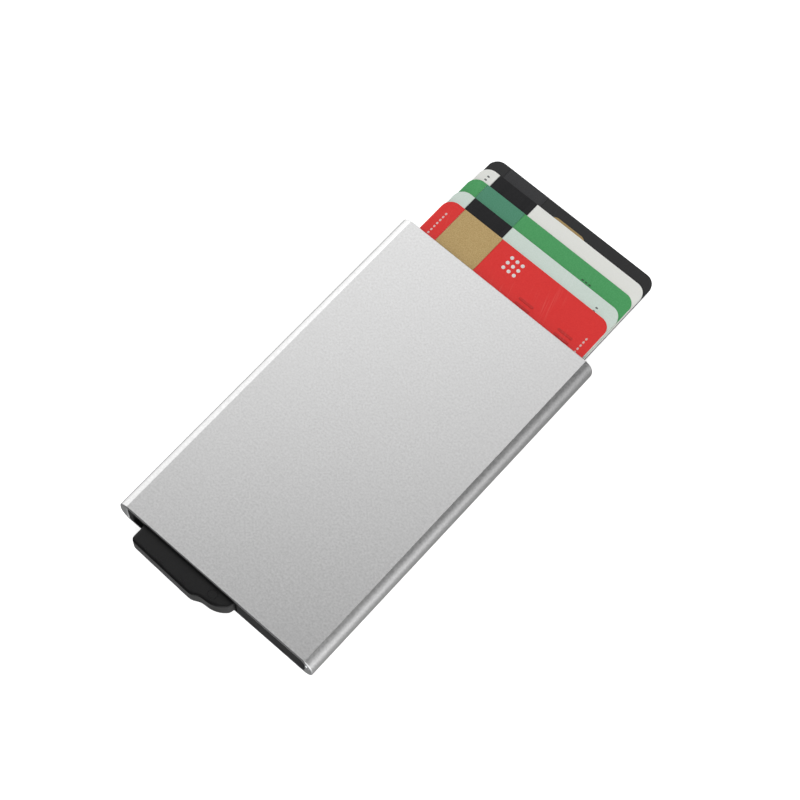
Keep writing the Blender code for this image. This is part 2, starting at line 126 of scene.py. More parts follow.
# Contact chip: its corners, its rows of pads, the etched lines between them, and how far from its
# middle the two long lines lie.
CHIP_CORNER = 1.4 * MM
CHIP_CORNER_STEPS = 8
CHIP_ROWS = 3
CHIP_LINE = 0.16 * MM
CHIP_LINE_DEPTH = 0.07 * MM
CHIP_LONG_LINE = 1.9 * MM

# Each card's print: ink, its mottle, scuffed ink and the core that the cut edges show.
PRINTS = {
    "black_card": ("#0E0E10", "#151517", "#2A2A2C", "#3A3A3C"),
    "white_card": ("#F0F1EB", "#F3F4EF", "#F6F6F3", "#EAEAE6"),
    "green_card": ("#3F9D58", "#4CA963", "#62B27A", "#E2E4DE"),
    "mint_card": ("#D6E5DB", "#DEEBE3", "#E6F0EA", "#E8EAE4"),
    "red_card": ("#E61C18", "#EC2824", "#F05450", "#E6E4E0"),
}
# The same for the bars embossed in the red card: their red is darker than the card's as painted
# shade, and darkest on their sides, where the painted shade is deepest.
SHADED_BAR_PRINT = ("#C81814", "#D6221E", "#EE6460", "#9E1210")

# Each card's stripe: dark and light flakes, and its share of metal. Then its finish's slot.
LACQUERS = {
    # The black card's stripe is painted a lighter grey: partly its own dark grey, and partly a
    # painted reflection of the lamp across the black card.
    "black_card": ("#313133", "#3A3A3C", 0),
    "white_card": ("#0A0A0D", "#151518", 0),
    "green_card": ("#4B8D6E", "#579A7D", 0),
    "mint_card": ("#0B0B0E", "#161619", 0),
    "red_card": ("#B3955E", "#CAB07C", 0.15),
}
STRIPE_SLOTS = {
    "black_card": "black_stripe",
    "white_card": "black_stripe",
    "green_card": "teal_stripe",
    "mint_card": "black_stripe",
    "red_card": "gold_stripe",
}

# Ink on the cards' faces: each ink, and its tone where the card shows through.
INKS = {
    "white_silkscreen_ink": ("#ECEAE8", "#E0B0AC"),
    "white_hairline_ink": ("#E8C8C4", "#DC9C98"),
    "grey_silkscreen_ink": ("#5E6260", "#A9B4AE"),
    "dark_green_silkscreen_ink": ("#1E5230", "#2E7442"),
}
INK_SUNK = 0.005 * MM
INK_THICK = 0.02 * MM
INK_RIM = INK_THICK / 3

# The grid of nine dots on the red card.
DOT_RADIUS = 0.52 * MM
DOT_PITCH = 1.75 * MM
DOT_GRID_MIDDLE = (-1.8 * MM, 60.2 * MM)

# Dashes in ink: two sizes, the share of their narrow side that rounds a corner, and their pitch.
HAIRLINE = (0.48 * MM, 0.7 * MM)
SMALL_DASH = (0.75 * MM, 0.45 * MM)
DASH_ROUNDING = 0.4
DASH_CORNER_STEPS = 3
DASH_PITCH = 1.15 * MM
# Each piece of dashes: its card, ink, slot and dash, and its rows by first place, step and count.
DASHES = {
    "red_card_hairlines": ("red_card", "white_hairline_ink", "white_pvc", HAIRLINE, (
        ((-24.2 * MM, 53.2 * MM), (0, DASH_PITCH), 7),
        ((24.9 * MM, 52.6 * MM), (0, DASH_PITCH), 5),
    )),
    "white_card_dashes": ("white_card", "grey_silkscreen_ink", "black_stripe", SMALL_DASH, (
        ((-24.1 * MM, 76.9 * MM), (0, -DASH_PITCH), 2),
    )),
    "green_card_dashes": ("green_card", "dark_green_silkscreen_ink", "teal_stripe", SMALL_DASH, (
        ((13.2 * MM, 70.1 * MM), (DASH_PITCH, 0), 3),
    )),
    "mint_card_dashes": ("mint_card", "grey_silkscreen_ink", "black_stripe", SMALL_DASH, (
        ((21.1 * MM, 66 * MM), (0, -DASH_PITCH), 2),
    )),
}

# Bars embossed in the red card. Their tops are rounded over most of their rise.
BAR_SIZE = (4.6 * MM, 0.75 * MM)
BAR_RISE = 0.08 * MM
BAR_CORNER = 0.3 * MM
BAR_CORNER_STEPS = 6
BAR_ROUNDING = 0.9
BAR_PLACES = [(x * MM, y * MM) for x in (7.2, 20) for y in (53.1, 54.7)]

# Foil patch on the black card.
FOIL_LOW = (-5.0 * MM, 71.5 * MM)
FOIL_HIGH = (6.6 * MM, 80.3 * MM)
FOIL_CORNER = 2.2 * MM
FOIL_CORNER_STEPS = 10

# The table, a hair under the holder, and its glow.
FLOOR_SIZE = 6
FLOOR_GAP = 0.02 * MM
FLOOR_GLOW = 0.75

# The walls' light, and the table's from below. Where a direction of length one dips under the first
# height, the table's light is full, and above the second there is none.
WALL_DIM = 0.14
TABLE_LIGHT = 0.14
TABLE_LIGHT_FULL = -0.88
TABLE_LIGHT_ENDS = -0.74
# Each pale patch of wall: its direction, how near to it (1 is straight at it) the light starts and
# is full, and how much light.
WALL_PATCHES = (
    ((-0.97, 0.2, 0.1), 0.55, 0.95, 0.98),
    ((-0.92, 0.3, 0.25), 0.8, 0.95, 0.55),
    ((0.87, -0.47, 0.12), 0.58, 0.8, 1.2),
    ((0.8, -0.4, -0.45), 0.55, 0.86, 0.5),
    ((-0.24, 0.93, -0.25), 0.8, 0.95, 0.7),
)
# Each softbox: azimuth from +X and elevation in degrees, distance and size in metres, and watts.
SOFTBOXES = (
    ("back_left_softbox", 130, 47, 1.2, (1.1, 1.1), 5.4),
    ("front_right_fill", 320, 50, 1.3, (0.8, 0.8), 2.9),
)

# The photo's viewpoint, from a fit of the sleeve's corners: the camera's right, up and back, its
# place in metres, its focal length in pixels of the square picture, and its sensor in millimetres.
CAMERA_RIGHT = (0.74896, 0.66221, 0.02298)
CAMERA_UP = (-0.61847, 0.68620, 0.38292)
CAMERA_BACK = (0.23781, -0.30101, 0.92350)
CAMERA_PLACE = (0.135707, -0.156698, 0.529126)
FOCAL_PIXELS = 2291.5
PICTURE_PIXELS = 800
SENSOR_WIDTH = 36
NEAREST_SEEN = 10 * MM

# Noise runs from 0 to 1 and lies mostly near 0.5. Each of these stretches a part of it to the whole.
WIDE_PART = {"From Min": 0.3, "From Max": 0.7}
MIDDLE_PART = {"From Min": 0.35, "From Max": 0.65}
UPPER_PART = {"From Min": 0.35, "From Max": 0.7}

# Sockets that share a name are given by their place: a Math node's inputs, and a Mix node's share,
# numbers, colours and results.
FIRST, SECOND = 0, 1
SHARE, NUMBER_A, NUMBER_B, COLOUR_A, COLOUR_B = 0, 2, 3, 6, 7
MIXED_NUMBER, MIXED_COLOUR = 0, 2
OF_COLOURS = {"data_type": "RGBA"}


# Colours and nodes

def srgb(hex_colour):
    """A hex colour as Blender's linear red, green, blue and alpha."""
    channels = [int(hex_colour[i:i + 2], 16) / 255 for i in (1, 3, 5)]
    return tuple(c / 12.92 if c <= 0.04045 else ((c + 0.055) / 1.055) ** 2.4
                 for c in channels) + (1,)


def fineness(millimetres):
    """The scale at which noise draws a pattern of this width."""
    return 1 / (millimetres * MM)


def add_node(tree, kind, settings, inputs):
    """Adds a shader node with its settings, and fills its inputs with values or links."""
    node = tree.nodes.new("ShaderNode" + kind)
    for name, value in settings.items():
        setattr(node, name, value)
    for name, value in inputs.items():
        if isinstance(value, bpy.types.NodeSocket):
            tree.links.new(value, node.inputs[name])
        else:
            node.inputs[name].default_value = value
    return node


def new_surface(name, values):
    """A Principled material with its plain values, and its tree, shader and coordinates."""
    surface = bpy.data.materials.new(name)
    surface.use_nodes = True
    tree = surface.node_tree
    shader = tree.nodes["Principled BSDF"]
    for socket, value in values.items():
        shader.inputs[socket].default_value = value
    return surface, tree, shader, tree.nodes.new("ShaderNodeTexCoord")


# Materials

def anodised_aluminium():
    """Extruded aluminium, bead-blasted and clear anodised: satin grey, with a fine sparkle of pits,
    and ends where handling has polished the rounded edges: smoother there, and painted brighter as a
    painted highlight along the end edges."""
    surface, tree, shader, place = new_surface("bead_blasted_anodised_aluminium", {"Metallic": 1})
    spot = place.outputs["Object"]
    # Real pits are near 0.1 mm. They are drawn at 0.55 mm, to show in a picture of the whole.
    pits = add_node(tree, "TexNoise", {}, {"Vector": spot, "Scale": fineness(0.55), "Detail": 3})
    sparkle = add_node(tree, "MapRange", {}, {"Value": pits.outputs["Fac"], **WIDE_PART})
    pitted = add_node(tree, "Mix", OF_COLOURS, {
        SHARE: sparkle.outputs["Result"], COLOUR_A: srgb("#C3C3C3"), COLOUR_B: srgb("#D8D8D8")})
    # The blasting is a little uneven over a centimetre.
    clouds = add_node(tree, "TexNoise", {}, {"Vector": spot, "Scale": fineness(9), "Detail": 2})
    uneven = add_node(tree, "MapRange", {}, {
        "Value": clouds.outputs["Fac"], **MIDDLE_PART, "To Max": 0.2})
    blasted = add_node(tree, "Mix", OF_COLOURS, {
        SHARE: uneven.outputs["Result"], COLOUR_A: pitted.outputs[MIXED_COLOUR],
        COLOUR_B: srgb("#CCCCCC")})
    # The last 0.3 mm at each end is the polished part: smoother, and painted a brighter grey as a
    # painted highlight along the end edges.
    along = add_node(tree, "SeparateXYZ", {}, {"Vector": spot})
    from_middle = add_node(tree, "Math", {"operation": "ABSOLUTE"}, {FIRST: along.outputs["Y"]})
    polished_and_highlit = add_node(tree, "MapRange", {}, {
        "Value": from_middle.outputs["Value"], "From Min": POLISH_AND_HIGHLIGHT_FROM, "From Max": POLISH_AND_HIGHLIGHT_FULL})
    # Painted highlight: the polished ends are painted a brighter grey.
    tone = add_node(tree, "Mix", OF_COLOURS, {
        SHARE: polished_and_highlit.outputs["Result"], COLOUR_A: blasted.outputs[MIXED_COLOUR],
        COLOUR_B: srgb("#D6D7D8")})
    tree.links.new(tone.outputs[MIXED_COLOUR], shader.inputs["Base Color"])
    satin = add_node(tree, "MapRange", {}, {
        "Value": pits.outputs["Fac"], **WIDE_PART, "To Min": 0.34, "To Max": 0.42})
    sheen = add_node(tree, "Mix", {}, {
        SHARE: polished_and_highlit.outputs["Result"], NUMBER_A: satin.outputs["Result"], NUMBER_B: 0.3})
    tree.links.new(sheen.outputs[MIXED_NUMBER], shader.inputs["Roughness"])
    relief = add_node(tree, "Bump", {}, {"Height": pits.outputs["Fac"], "Distance": 0.012 * MM})
    tree.links.new(relief.outputs["Normal"], shader.inputs["Normal"])
    return surface


def moulded_abs():
    """Black moulded ABS with a fine spark-eroded texture, slightly greyer on its high spots."""
    surface, tree, shader, place = new_surface("spark_textured_black_abs", {
        "Specular IOR Level": 0.2})
    spot = place.outputs["Object"]
    # The pits of a real texture of this grade are near 0.1 mm wide; they are drawn 0.22 mm wide.
    texture = add_node(tree, "TexNoise", {}, {"Vector": spot, "Scale": fineness(0.22), "Detail": 3})
    high_spots = add_node(tree, "MapRange", {}, {"Value": texture.outputs["Fac"], **UPPER_PART})
    tone = add_node(tree, "Mix", OF_COLOURS, {
        SHARE: high_spots.outputs["Result"], COLOUR_A: srgb("#171718"), COLOUR_B: srgb("#222223")})
    tree.links.new(tone.outputs[MIXED_COLOUR], shader.inputs["Base Color"])
    # The melt's flow leaves it a little more or less matt every 5 mm.
    flow = add_node(tree, "TexNoise", {}, {"Vector": spot, "Scale": fineness(5), "Detail": 2})
    matt = add_node(tree, "MapRange", {}, {
        "Value": flow.outputs["Fac"], **MIDDLE_PART, "To Min": 0.45, "To Max": 0.55})
    tree.links.new(matt.outputs["Result"], shader.inputs["Roughness"])
    relief = add_node(tree, "Bump", {}, {"Height": texture.outputs["Fac"], "Distance": 0.01 * MM})
    tree.links.new(relief.outputs["Normal"], shader.inputs["Normal"])
    return surface


def worn_lever_abs():
    """Black moulded ABS, smoother than the frame's, and glossier along the edge that thumbs rub."""
    surface, tree, shader, place = new_surface("satin_black_abs", {"Specular IOR Level": 0.3})
    spot = place.outputs["Object"]
    # A satin texture is near 0.05 mm wide; it is drawn 0.25 mm wide, shallower than the frame's.
    texture = add_node(tree, "TexNoise", {}, {"Vector": spot, "Scale": fineness(0.25), "Detail": 3})
    high_spots = add_node(tree, "MapRange", {}, {"Value": texture.outputs["Fac"], **UPPER_PART})
    tone = add_node(tree, "Mix", OF_COLOURS, {
        SHARE: high_spots.outputs["Result"], COLOUR_A: srgb("#0E0E0F"), COLOUR_B: srgb("#161617")})
    tree.links.new(tone.outputs[MIXED_COLOUR], shader.inputs["Base Color"])
    across = add_node(tree, "SeparateXYZ", {}, {"Vector": spot})
    rubbed = add_node(tree, "MapRange", {}, {
        "Value": across.outputs["Y"], "From Min": RUBBED_EDGE, "From Max": RUBBED_UP_TO,
        "To Min": 0.26, "To Max": 0.4})
    # Finger marks are about 3 mm wide.
    smears = add_node(tree, "TexNoise", {}, {"Vector": spot, "Scale": fineness(3), "Detail": 3})
    uneven = add_node(tree, "MapRange", {}, {
        "Value": smears.outputs["Fac"], **MIDDLE_PART, "To Min": -0.04, "To Max": 0.04})
    rough = add_node(tree, "Math", {"operation": "ADD"}, {
        FIRST: rubbed.outputs["Result"], SECOND: uneven.outputs["Result"]})
    tree.links.new(rough.outputs["Value"], shader.inputs["Roughness"])
    relief = add_node(tree, "Bump", {}, {"Height": texture.outputs["Fac"], "Distance": 0.006 * MM})
    tree.links.new(relief.outputs["Normal"], shader.inputs["Normal"])
    return surface


def laminated_pvc(name, ink, mottle, scuff, core_and_side_shade):
    """Printed PVC under a clear laminate: mottled ink on the faces, with faint handling scratches,
    and on upright faces the bare core of the cut edges; on the embossed bars these get a painted
    shade instead."""
    surface, tree, shader, place = new_surface(name, {
        "Specular IOR Level": 0.15, "Coat Weight": 0.3, "Coat Roughness": 0.15})
    spot = place.outputs["Object"]
    # Offset ink settles in dots of 0.1 mm; the mottle is drawn at 0.35 mm.
    fibre = add_node(tree, "TexNoise", {}, {"Vector": spot, "Scale": fineness(0.35), "Detail": 3})
    settled = add_node(tree, "MapRange", {}, {"Value": fibre.outputs["Fac"], **WIDE_PART})
    printed = add_node(tree, "Mix", OF_COLOURS, {
        SHARE: settled.outputs["Result"], COLOUR_A: srgb(ink), COLOUR_B: srgb(mottle)})
    # Scratches from sliding in and out lie 0.4 mm apart and are 12 mm long, turned 18 degrees off
    # the card's length. They show in patches 8 mm wide.
    slid = add_node(tree, "Mapping", {"vector_type": "TEXTURE"}, {
        "Vector": spot, "Rotation": (0, 0, math.radians(18)),
        "Scale": (0.4 * MM, 12 * MM, 12 * MM)})
    scratches = add_node(tree, "TexNoise", {}, {
        "Vector": slid.outputs["Vector"], "Scale": 1, "Detail": 3})
    patches = add_node(tree, "TexNoise", {}, {"Vector": spot, "Scale": fineness(8), "Detail": 1})
    where = add_node(tree, "MapRange", {}, {
        "Value": patches.outputs["Fac"], "From Min": 0.45, "From Max": 0.65})
    lines = add_node(tree, "MapRange", {}, {
        "Value": scratches.outputs["Fac"], "From Min": 0.56, "From Max": 0.72, "To Max": 0.5})
    seen = add_node(tree, "Math", {"operation": "MULTIPLY"}, {
        FIRST: where.outputs["Result"], SECOND: lines.outputs["Result"]})
    scuffed = add_node(tree, "Mix", OF_COLOURS, {
        SHARE: seen.outputs["Value"], COLOUR_A: printed.outputs[MIXED_COLOUR],
        COLOUR_B: srgb(scuff)})
    # Only faces that lie flat are printed.
    facing = add_node(tree, "SeparateXYZ", {}, {"Vector": place.outputs["Normal"]})
    level = add_node(tree, "Math", {"operation": "ABSOLUTE"}, {FIRST: facing.outputs["Z"]})
    on_face = add_node(tree, "MapRange", {}, {
        "Value": level.outputs["Value"], "From Min": 0.6, "From Max": 0.9})
    # Upright faces take the core's tone; on the embossed bars that tone is painted shade.
    tone = add_node(tree, "Mix", OF_COLOURS, {
        SHARE: on_face.outputs["Result"], COLOUR_A: srgb(core_and_side_shade),
        COLOUR_B: scuffed.outputs[MIXED_COLOUR]})
    tree.links.new(tone.outputs[MIXED_COLOUR], shader.inputs["Base Color"])
    gloss = add_node(tree, "MapRange", {}, {
        "Value": scratches.outputs["Fac"], **MIDDLE_PART, "To Min": 0.36, "To Max": 0.48})
    tree.links.new(gloss.outputs["Result"], shader.inputs["Roughness"])
    relief = add_node(tree, "Bump", {}, {"Height": fibre.outputs["Fac"], "Distance": 0.004 * MM})
    tree.links.new(relief.outputs["Normal"], shader.inputs["Normal"])
    return surface


def stripe_lacquer(name, dark, light, metallic):
    """Magnetic lacquer: an even coat with fine metal flakes in it, polished by the reader heads
    in lines along the card."""
    surface, tree, shader, place = new_surface(name, {
        "Metallic": metallic, "Specular IOR Level": 0.2})
    spot = place.outputs["Object"]
    # Real flakes are a few hundredths of a millimetre; they are drawn at 0.28 mm.
    flakes = add_node(tree, "TexNoise", {}, {"Vector": spot, "Scale": fineness(0.28), "Detail": 3})
    bright = add_node(tree, "MapRange", {}, {
        "Value": flakes.outputs["Fac"], "From Min": 0.35, "From Max": 0.68})
    tone = add_node(tree, "Mix", OF_COLOURS, {
        SHARE: bright.outputs["Result"], COLOUR_A: srgb(dark), COLOUR_B: srgb(light)})
    tree.links.new(tone.outputs[MIXED_COLOUR], shader.inputs["Base Color"])
    # The polished lines lie 0.5 mm apart and are 30 mm long.
    swiped = add_node(tree, "Mapping", {"vector_type": "TEXTURE"}, {
        "Vector": spot, "Scale": (0.5 * MM, 30 * MM, 30 * MM)})
    tracks = add_node(tree, "TexNoise", {}, {
        "Vector": swiped.outputs["Vector"], "Scale": 1, "Detail": 2})
    polish = add_node(tree, "MapRange", {}, {
        "Value": tracks.outputs["Fac"], **WIDE_PART, "To Min": 0.32, "To Max": 0.48})
    tree.links.new(polish.outputs["Result"], shader.inputs["Roughness"])
    return surface


def gold_contacts():
    """Gold-plated rolled copper on a contact chip: warm and smooth, with faint rolling lines."""
    surface, tree, shader, place = new_surface("gold_plated_contacts", {"Metallic": 1})
    # Rolling lines lie 0.12 mm apart and are 4 mm long.
    rolled = add_node(tree, "Mapping", {"vector_type": "TEXTURE"}, {
        "Vector": place.outputs["Object"], "Scale": (0.12 * MM, 4 * MM, 4 * MM)})
    lines = add_node(tree, "TexNoise", {}, {
        "Vector": rolled.outputs["Vector"], "Scale": 1, "Detail": 2})
    tone = add_node(tree, "Mix", OF_COLOURS, {
        SHARE: lines.outputs["Fac"], COLOUR_A: srgb("#C49C45"), COLOUR_B: srgb("#DDBB68")})
    tree.links.new(tone.outputs[MIXED_COLOUR], shader.inputs["Base Color"])
    bright = add_node(tree, "MapRange", {}, {
        "Value": lines.outputs["Fac"], **WIDE_PART, "To Min": 0.22, "To Max": 0.36})
    tree.links.new(bright.outputs["Result"], shader.inputs["Roughness"])
    return surface


def stamped_gold_foil():
    """Hot-stamped foil: thin pale gold, a little uneven where the stamp pressed."""
    surface, tree, shader, place = new_surface("hot_stamped_gold_foil", {"Metallic": 0.6})
    # The stamp's pressure varies about every 0.8 mm.
    pressed = add_node(tree, "TexNoise", {}, {
        "Vector": place.outputs["Object"], "Scale": fineness(0.8), "Detail": 3})
    tone = add_node(tree, "Mix", OF_COLOURS, {
        SHARE: pressed.outputs["Fac"], COLOUR_A: srgb("#7F6840"), COLOUR_B: srgb("#B39A66")})
    tree.links.new(tone.outputs[MIXED_COLOUR], shader.inputs["Base Color"])
    uneven = add_node(tree, "MapRange", {}, {
        "Value": pressed.outputs["Fac"], **WIDE_PART, "To Min": 0.3, "To Max": 0.5})
    tree.links.new(uneven.outputs["Result"], shader.inputs["Roughness"])
    return surface


def silkscreen_ink(name, ink, worn):
    """Silkscreened ink: matt, with tiny gaps where the mesh left the card showing through."""
    surface, tree, shader, place = new_surface(name, {"Roughness": 0.55})
    # A fine mesh has threads 0.05 mm apart; the gaps are drawn at 0.2 mm.
    mesh_gaps = add_node(tree, "TexNoise", {}, {
        "Vector": place.outputs["Object"], "Scale": fineness(0.2), "Detail": 2})
    bare = add_node(tree, "MapRange", {}, {
        "Value": mesh_gaps.outputs["Fac"], "From Min": 0.55, "From Max": 0.75})
    tone = add_node(tree, "Mix", OF_COLOURS, {
        SHARE: bare.outputs["Result"], COLOUR_A: srgb(ink), COLOUR_B: srgb(worn)})
    tree.links.new(tone.outputs[MIXED_COLOUR], shader.inputs["Base Color"])
    return surface


def pressed_felt():
    """Pressed wool felt: black, matt, with short fibres that catch a little light."""
    surface, tree, shader, place = new_surface("pressed_black_felt", {
        "Roughness": 0.95, "Sheen Weight": 0.4, "Sheen Roughness": 0.5})
    # Wool fibres are 0.02 mm thick; their tangle is drawn at 0.15 mm.
    fibres = add_node(tree, "TexNoise", {}, {
        "Vector": place.outputs["Object"], "Scale": fineness(0.15), "Detail": 4,
        "Distortion": 1.5})
    lit = add_node(tree, "MapRange", {}, {"Value": fibres.outputs["Fac"], **UPPER_PART})
    tone = add_node(tree, "Mix", OF_COLOURS, {
        SHARE: lit.outputs["Result"], COLOUR_A: srgb("#121214"), COLOUR_B: srgb("#303034")})
    tree.links.new(tone.outputs[MIXED_COLOUR], shader.inputs["Base Color"])
    relief = add_node(tree, "Bump", {}, {"Height": fibres.outputs["Fac"], "Distance": 0.05 * MM})
    tree.links.new(relief.outputs["Normal"], shader.inputs["Normal"])
    return surface


def ground_steel():
    """Centreless-ground dowel steel: bright, with fine rings round the pin."""
    surface, tree, shader, place = new_surface("ground_dowel_steel", {"Metallic": 1})
    # Real grinding rings are a few hundredths of a millimetre apart; they are drawn at 0.06 mm.
    turned = add_node(tree, "Mapping", {"vector_type": "TEXTURE"}, {
        "Vector": place.outputs["Object"], "Scale": (2 * MM, 2 * MM, 0.06 * MM)})
    rings = add_node(tree, "TexNoise", {}, {
        "Vector": turned.outputs["Vector"], "Scale": 1, "Detail": 2})
    tone = add_node(tree, "Mix", OF_COLOURS, {
        SHARE: rings.outputs["Fac"], COLOUR_A: srgb("#A6A8AB"), COLOUR_B: srgb("#C6C8CA")})
    tree.links.new(tone.outputs[MIXED_COLOUR], shader.inputs["Base Color"])
    bright = add_node(tree, "MapRange", {}, {
        "Value": rings.outputs["Fac"], **WIDE_PART, "To Min": 0.2, "To Max": 0.34})
    tree.links.new(bright.outputs["Result"], shader.inputs["Roughness"])
    return surface


# Modelling, as by hand

def take(obj):
    """Selects one object and makes it active."""
    bpy.ops.object.select_all(action="DESELECT")
    obj.select_set(True)
    bpy.context.view_layer.objects.active = obj


def settle(obj, name):
    """Names an object, and puts its place, turn and size into its mesh."""
    obj.name = name
    obj.data.name = name
    take(obj)
    bpy.ops.object.transform_apply(location=True, rotation=True, scale=True)
    return obj


def block(name, low, high):
    """A box between two corners, to be shaped further or to cut with."""
    bpy.ops.object.select_all(action="DESELECT")
    middle = [(a + b) / 2 for a, b in zip(low, high)]
    bpy.ops.mesh.primitive_cube_add(size=1, location=middle)
    obj = bpy.context.active_object
    obj.scale = [b - a for a, b in zip(low, high)]
    return settle(obj, name)


def tile(name, size, bottom, top):
    """A block between two heights, with its middle on the Z axis."""
    width, length = size
    return block(name, (-width / 2, -length / 2, bottom), (width / 2, length / 2, top))


def upright(edge):
    """Whether an edge rises much further than it runs."""
    first, second = (v.co for v in edge.verts)
    run = max(abs(first.x - second.x), abs(first.y - second.y))
    return abs(first.z - second.z) > STEEP * run


def on_rim(edge):
    """Whether two faces meet sharply at an edge."""
    return len(edge.link_faces) == 2 and edge.calc_face_angle(0) > RIM_TURN


def rim_above(height):
    """A test for the rim edges that lie above a height."""
    return lambda edge: on_rim(edge) and min(v.co.z for v in edge.verts) > height


def on_end_chamfer(edge):
    """Whether one of the sleeve's end chamfers meets a face at an edge."""
    return (min(abs(v.co.y) for v in edge.verts) > END_ZONE and len(edge.link_faces) == 2
            and CHAMFER_TURN < edge.calc_face_angle(0) < RIM_TURN
            and abs(edge.verts[0].co.y - edge.verts[1].co.y) < LEVEL_WITHIN)


def bevel(obj, wanted, width, steps):
    """Rounds the edges that the test accepts."""
    take(obj)
    bpy.ops.object.mode_set(mode="EDIT")
    bpy.ops.mesh.select_mode(type="EDGE")
    bpy.ops.mesh.select_all(action="DESELECT")
    shape = bmesh.from_edit_mesh(obj.data)
    for edge in shape.edges:
        edge.select_set(wanted(edge))
    shape.select_flush_mode()
    bmesh.update_edit_mesh(obj.data)
    bpy.ops.mesh.bevel(offset=width, segments=steps, affect="EDGES", profile=0.5)
    bpy.ops.object.mode_set(mode="OBJECT")


def apply_modifier(obj, name, kind, settings):
    """Adds a modifier with its settings to the active object, and applies it."""
    modifier = obj.modifiers.new(name, kind)
    for setting, value in settings.items():
        setattr(modifier, setting, value)
    bpy.ops.object.modifier_apply(modifier=modifier.name)


def cut(obj, *cutters):
    """Cuts other objects out of one, and removes them."""
    for cutter in cutters:
        take(obj)
        apply_modifier(obj, "cut", "BOOLEAN", {
            "operation": "DIFFERENCE", "solver": "EXACT", "object": cutter})
        bpy.data.objects.remove(cutter)


def weld(obj):
    """Merges the corners that a cut or an import leaves within two microns of each other."""
    take(obj)
    bpy.ops.object.mode_set(mode="EDIT")
    bpy.ops.mesh.select_all(action="SELECT")
    bpy.ops.mesh.remove_doubles(threshold=WELD_DISTANCE)
    bpy.ops.object.mode_set(mode="OBJECT")


def smooth(obj, degrees):
    """Smooth shading up to an angle, with flat faces kept flat."""
    take(obj)
    bpy.ops.object.shade_smooth_by_angle(angle=math.radians(degrees))
    apply_modifier(obj, "flats", "WEIGHTED_NORMAL", {"keep_sharp": True, "weight": 100})


def copy_to(master, name, shift):
    """A copy of a modelled piece with its own mesh, moved into place."""
    take(master)
    bpy.ops.object.duplicate()
    piece = bpy.context.active_object
    piece.location = shift
    return settle(piece, name)


def join(name, pieces):
    """Several pieces as one object."""
    bpy.ops.object.select_all(action="DESELECT")
    for piece in pieces:
        piece.select_set(True)
    bpy.context.view_layer.objects.active = pieces[0]
    bpy.ops.object.join()
    return settle(pieces[0], name)


def spread(master, places, name):
    """One object of copies of a modelled mark, one at each place, in the stead of the mark."""
    marks = [copy_to(master, master.name, (x, y, 0)) for x, y in places]
    bpy.data.objects.remove(master)
    return join(name, marks)


def copy_node(node, name):
    """A merged copy of a CAD node's mesh, to be finished as a piece of its own."""
    mesh = NODES[node].data.copy()
    mesh.name = name
    obj = bpy.data.objects.new(name, mesh)
    bpy.context.scene.collection.objects.link(obj)
    weld(obj)
    bpy.ops.object.mode_set(mode="EDIT")
    bpy.ops.mesh.select_all(action="SELECT")
    bpy.ops.mesh.dissolve_limited(angle_limit=FLAT_TURN)
    bpy.ops.object.mode_set(mode="OBJECT")
    return obj


def hand_over(obj, body, surface, slot_name, *nodes):
    """Gives a finished piece its material and its body, and hides the nodes it stands for. Its slot
    name is not used.
    """
    obj.data.materials.clear()
    obj.data.materials.append(surface)
    if nodes:
        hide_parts(*nodes)
    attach(obj, body)


# Holder

def make_sleeve(surface):
    """The extrusion, with a shallow rack mark in the end of its right side."""
    sleeve = copy_node("sleeve", "sleeve_extrusion")
    bpy.ops.object.select_all(action="DESELECT")
    bpy.ops.mesh.primitive_uv_sphere_add(segments=32, ring_count=24, radius=RACK_MARK_RADIUS,
                                         location=RACK_MARK_CENTRE)
    cut(sleeve, settle(bpy.context.active_object, "rack_mark"))
    weld(sleeve)
    bevel(sleeve, on_end_chamfer, END_ROUNDING, RIM_STEPS)
    smooth(sleeve, SLEEVE_SMOOTH)
    hand_over(sleeve, "holder", surface, "anodised_aluminium", "sleeve")


def make_mouldings(surface):
    """The frame and the cover that closes it over the lever."""
    for node in ("end_frame", "mechanism_cover"):
        piece = copy_node(node, node + "_moulding")
        smooth(piece, MOULDING_SMOOTH)
        hand_over(piece, "holder", surface, "black_abs", node)


def soften(pad):
    """Softens the thumb pad's edges outside the sleeve, and sinks the part inside the arm."""
    sharp = copy_to(pad, "sharp_pad", (0, 0, 0))
    take(pad)
    even = pad.modifiers.new("even", "REMESH")
    even.mode = "VOXEL"
    even.voxel_size = PAD_VOXEL
    true = pad.modifiers.new("true", "SHRINKWRAP")
    true.target = sharp
    bpy.ops.object.convert(target="MESH")
    bpy.data.objects.remove(sharp)
    outside = pad.vertex_groups.new(name="outside")
    overlap = pad.vertex_groups.new(name="overlap")
    for vertex in pad.data.vertices:
        out = ARM_FROM - vertex.co.y
        outside.add([vertex.index], min(1, max(0, out / PAD_FADE)), "REPLACE")
        overlap.add([vertex.index], 1 if out < 0 else 0, "REPLACE")
    apply_modifier(pad, "soft", "SMOOTH", {
        "factor": 0.5, "iterations": PAD_PASSES, "vertex_group": outside.name})
    apply_modifier(pad, "sunk", "DISPLACE", {
        "mid_level": 0, "strength": -PAD_SUNK, "vertex_group": overlap.name})
    pad.vertex_groups.clear()


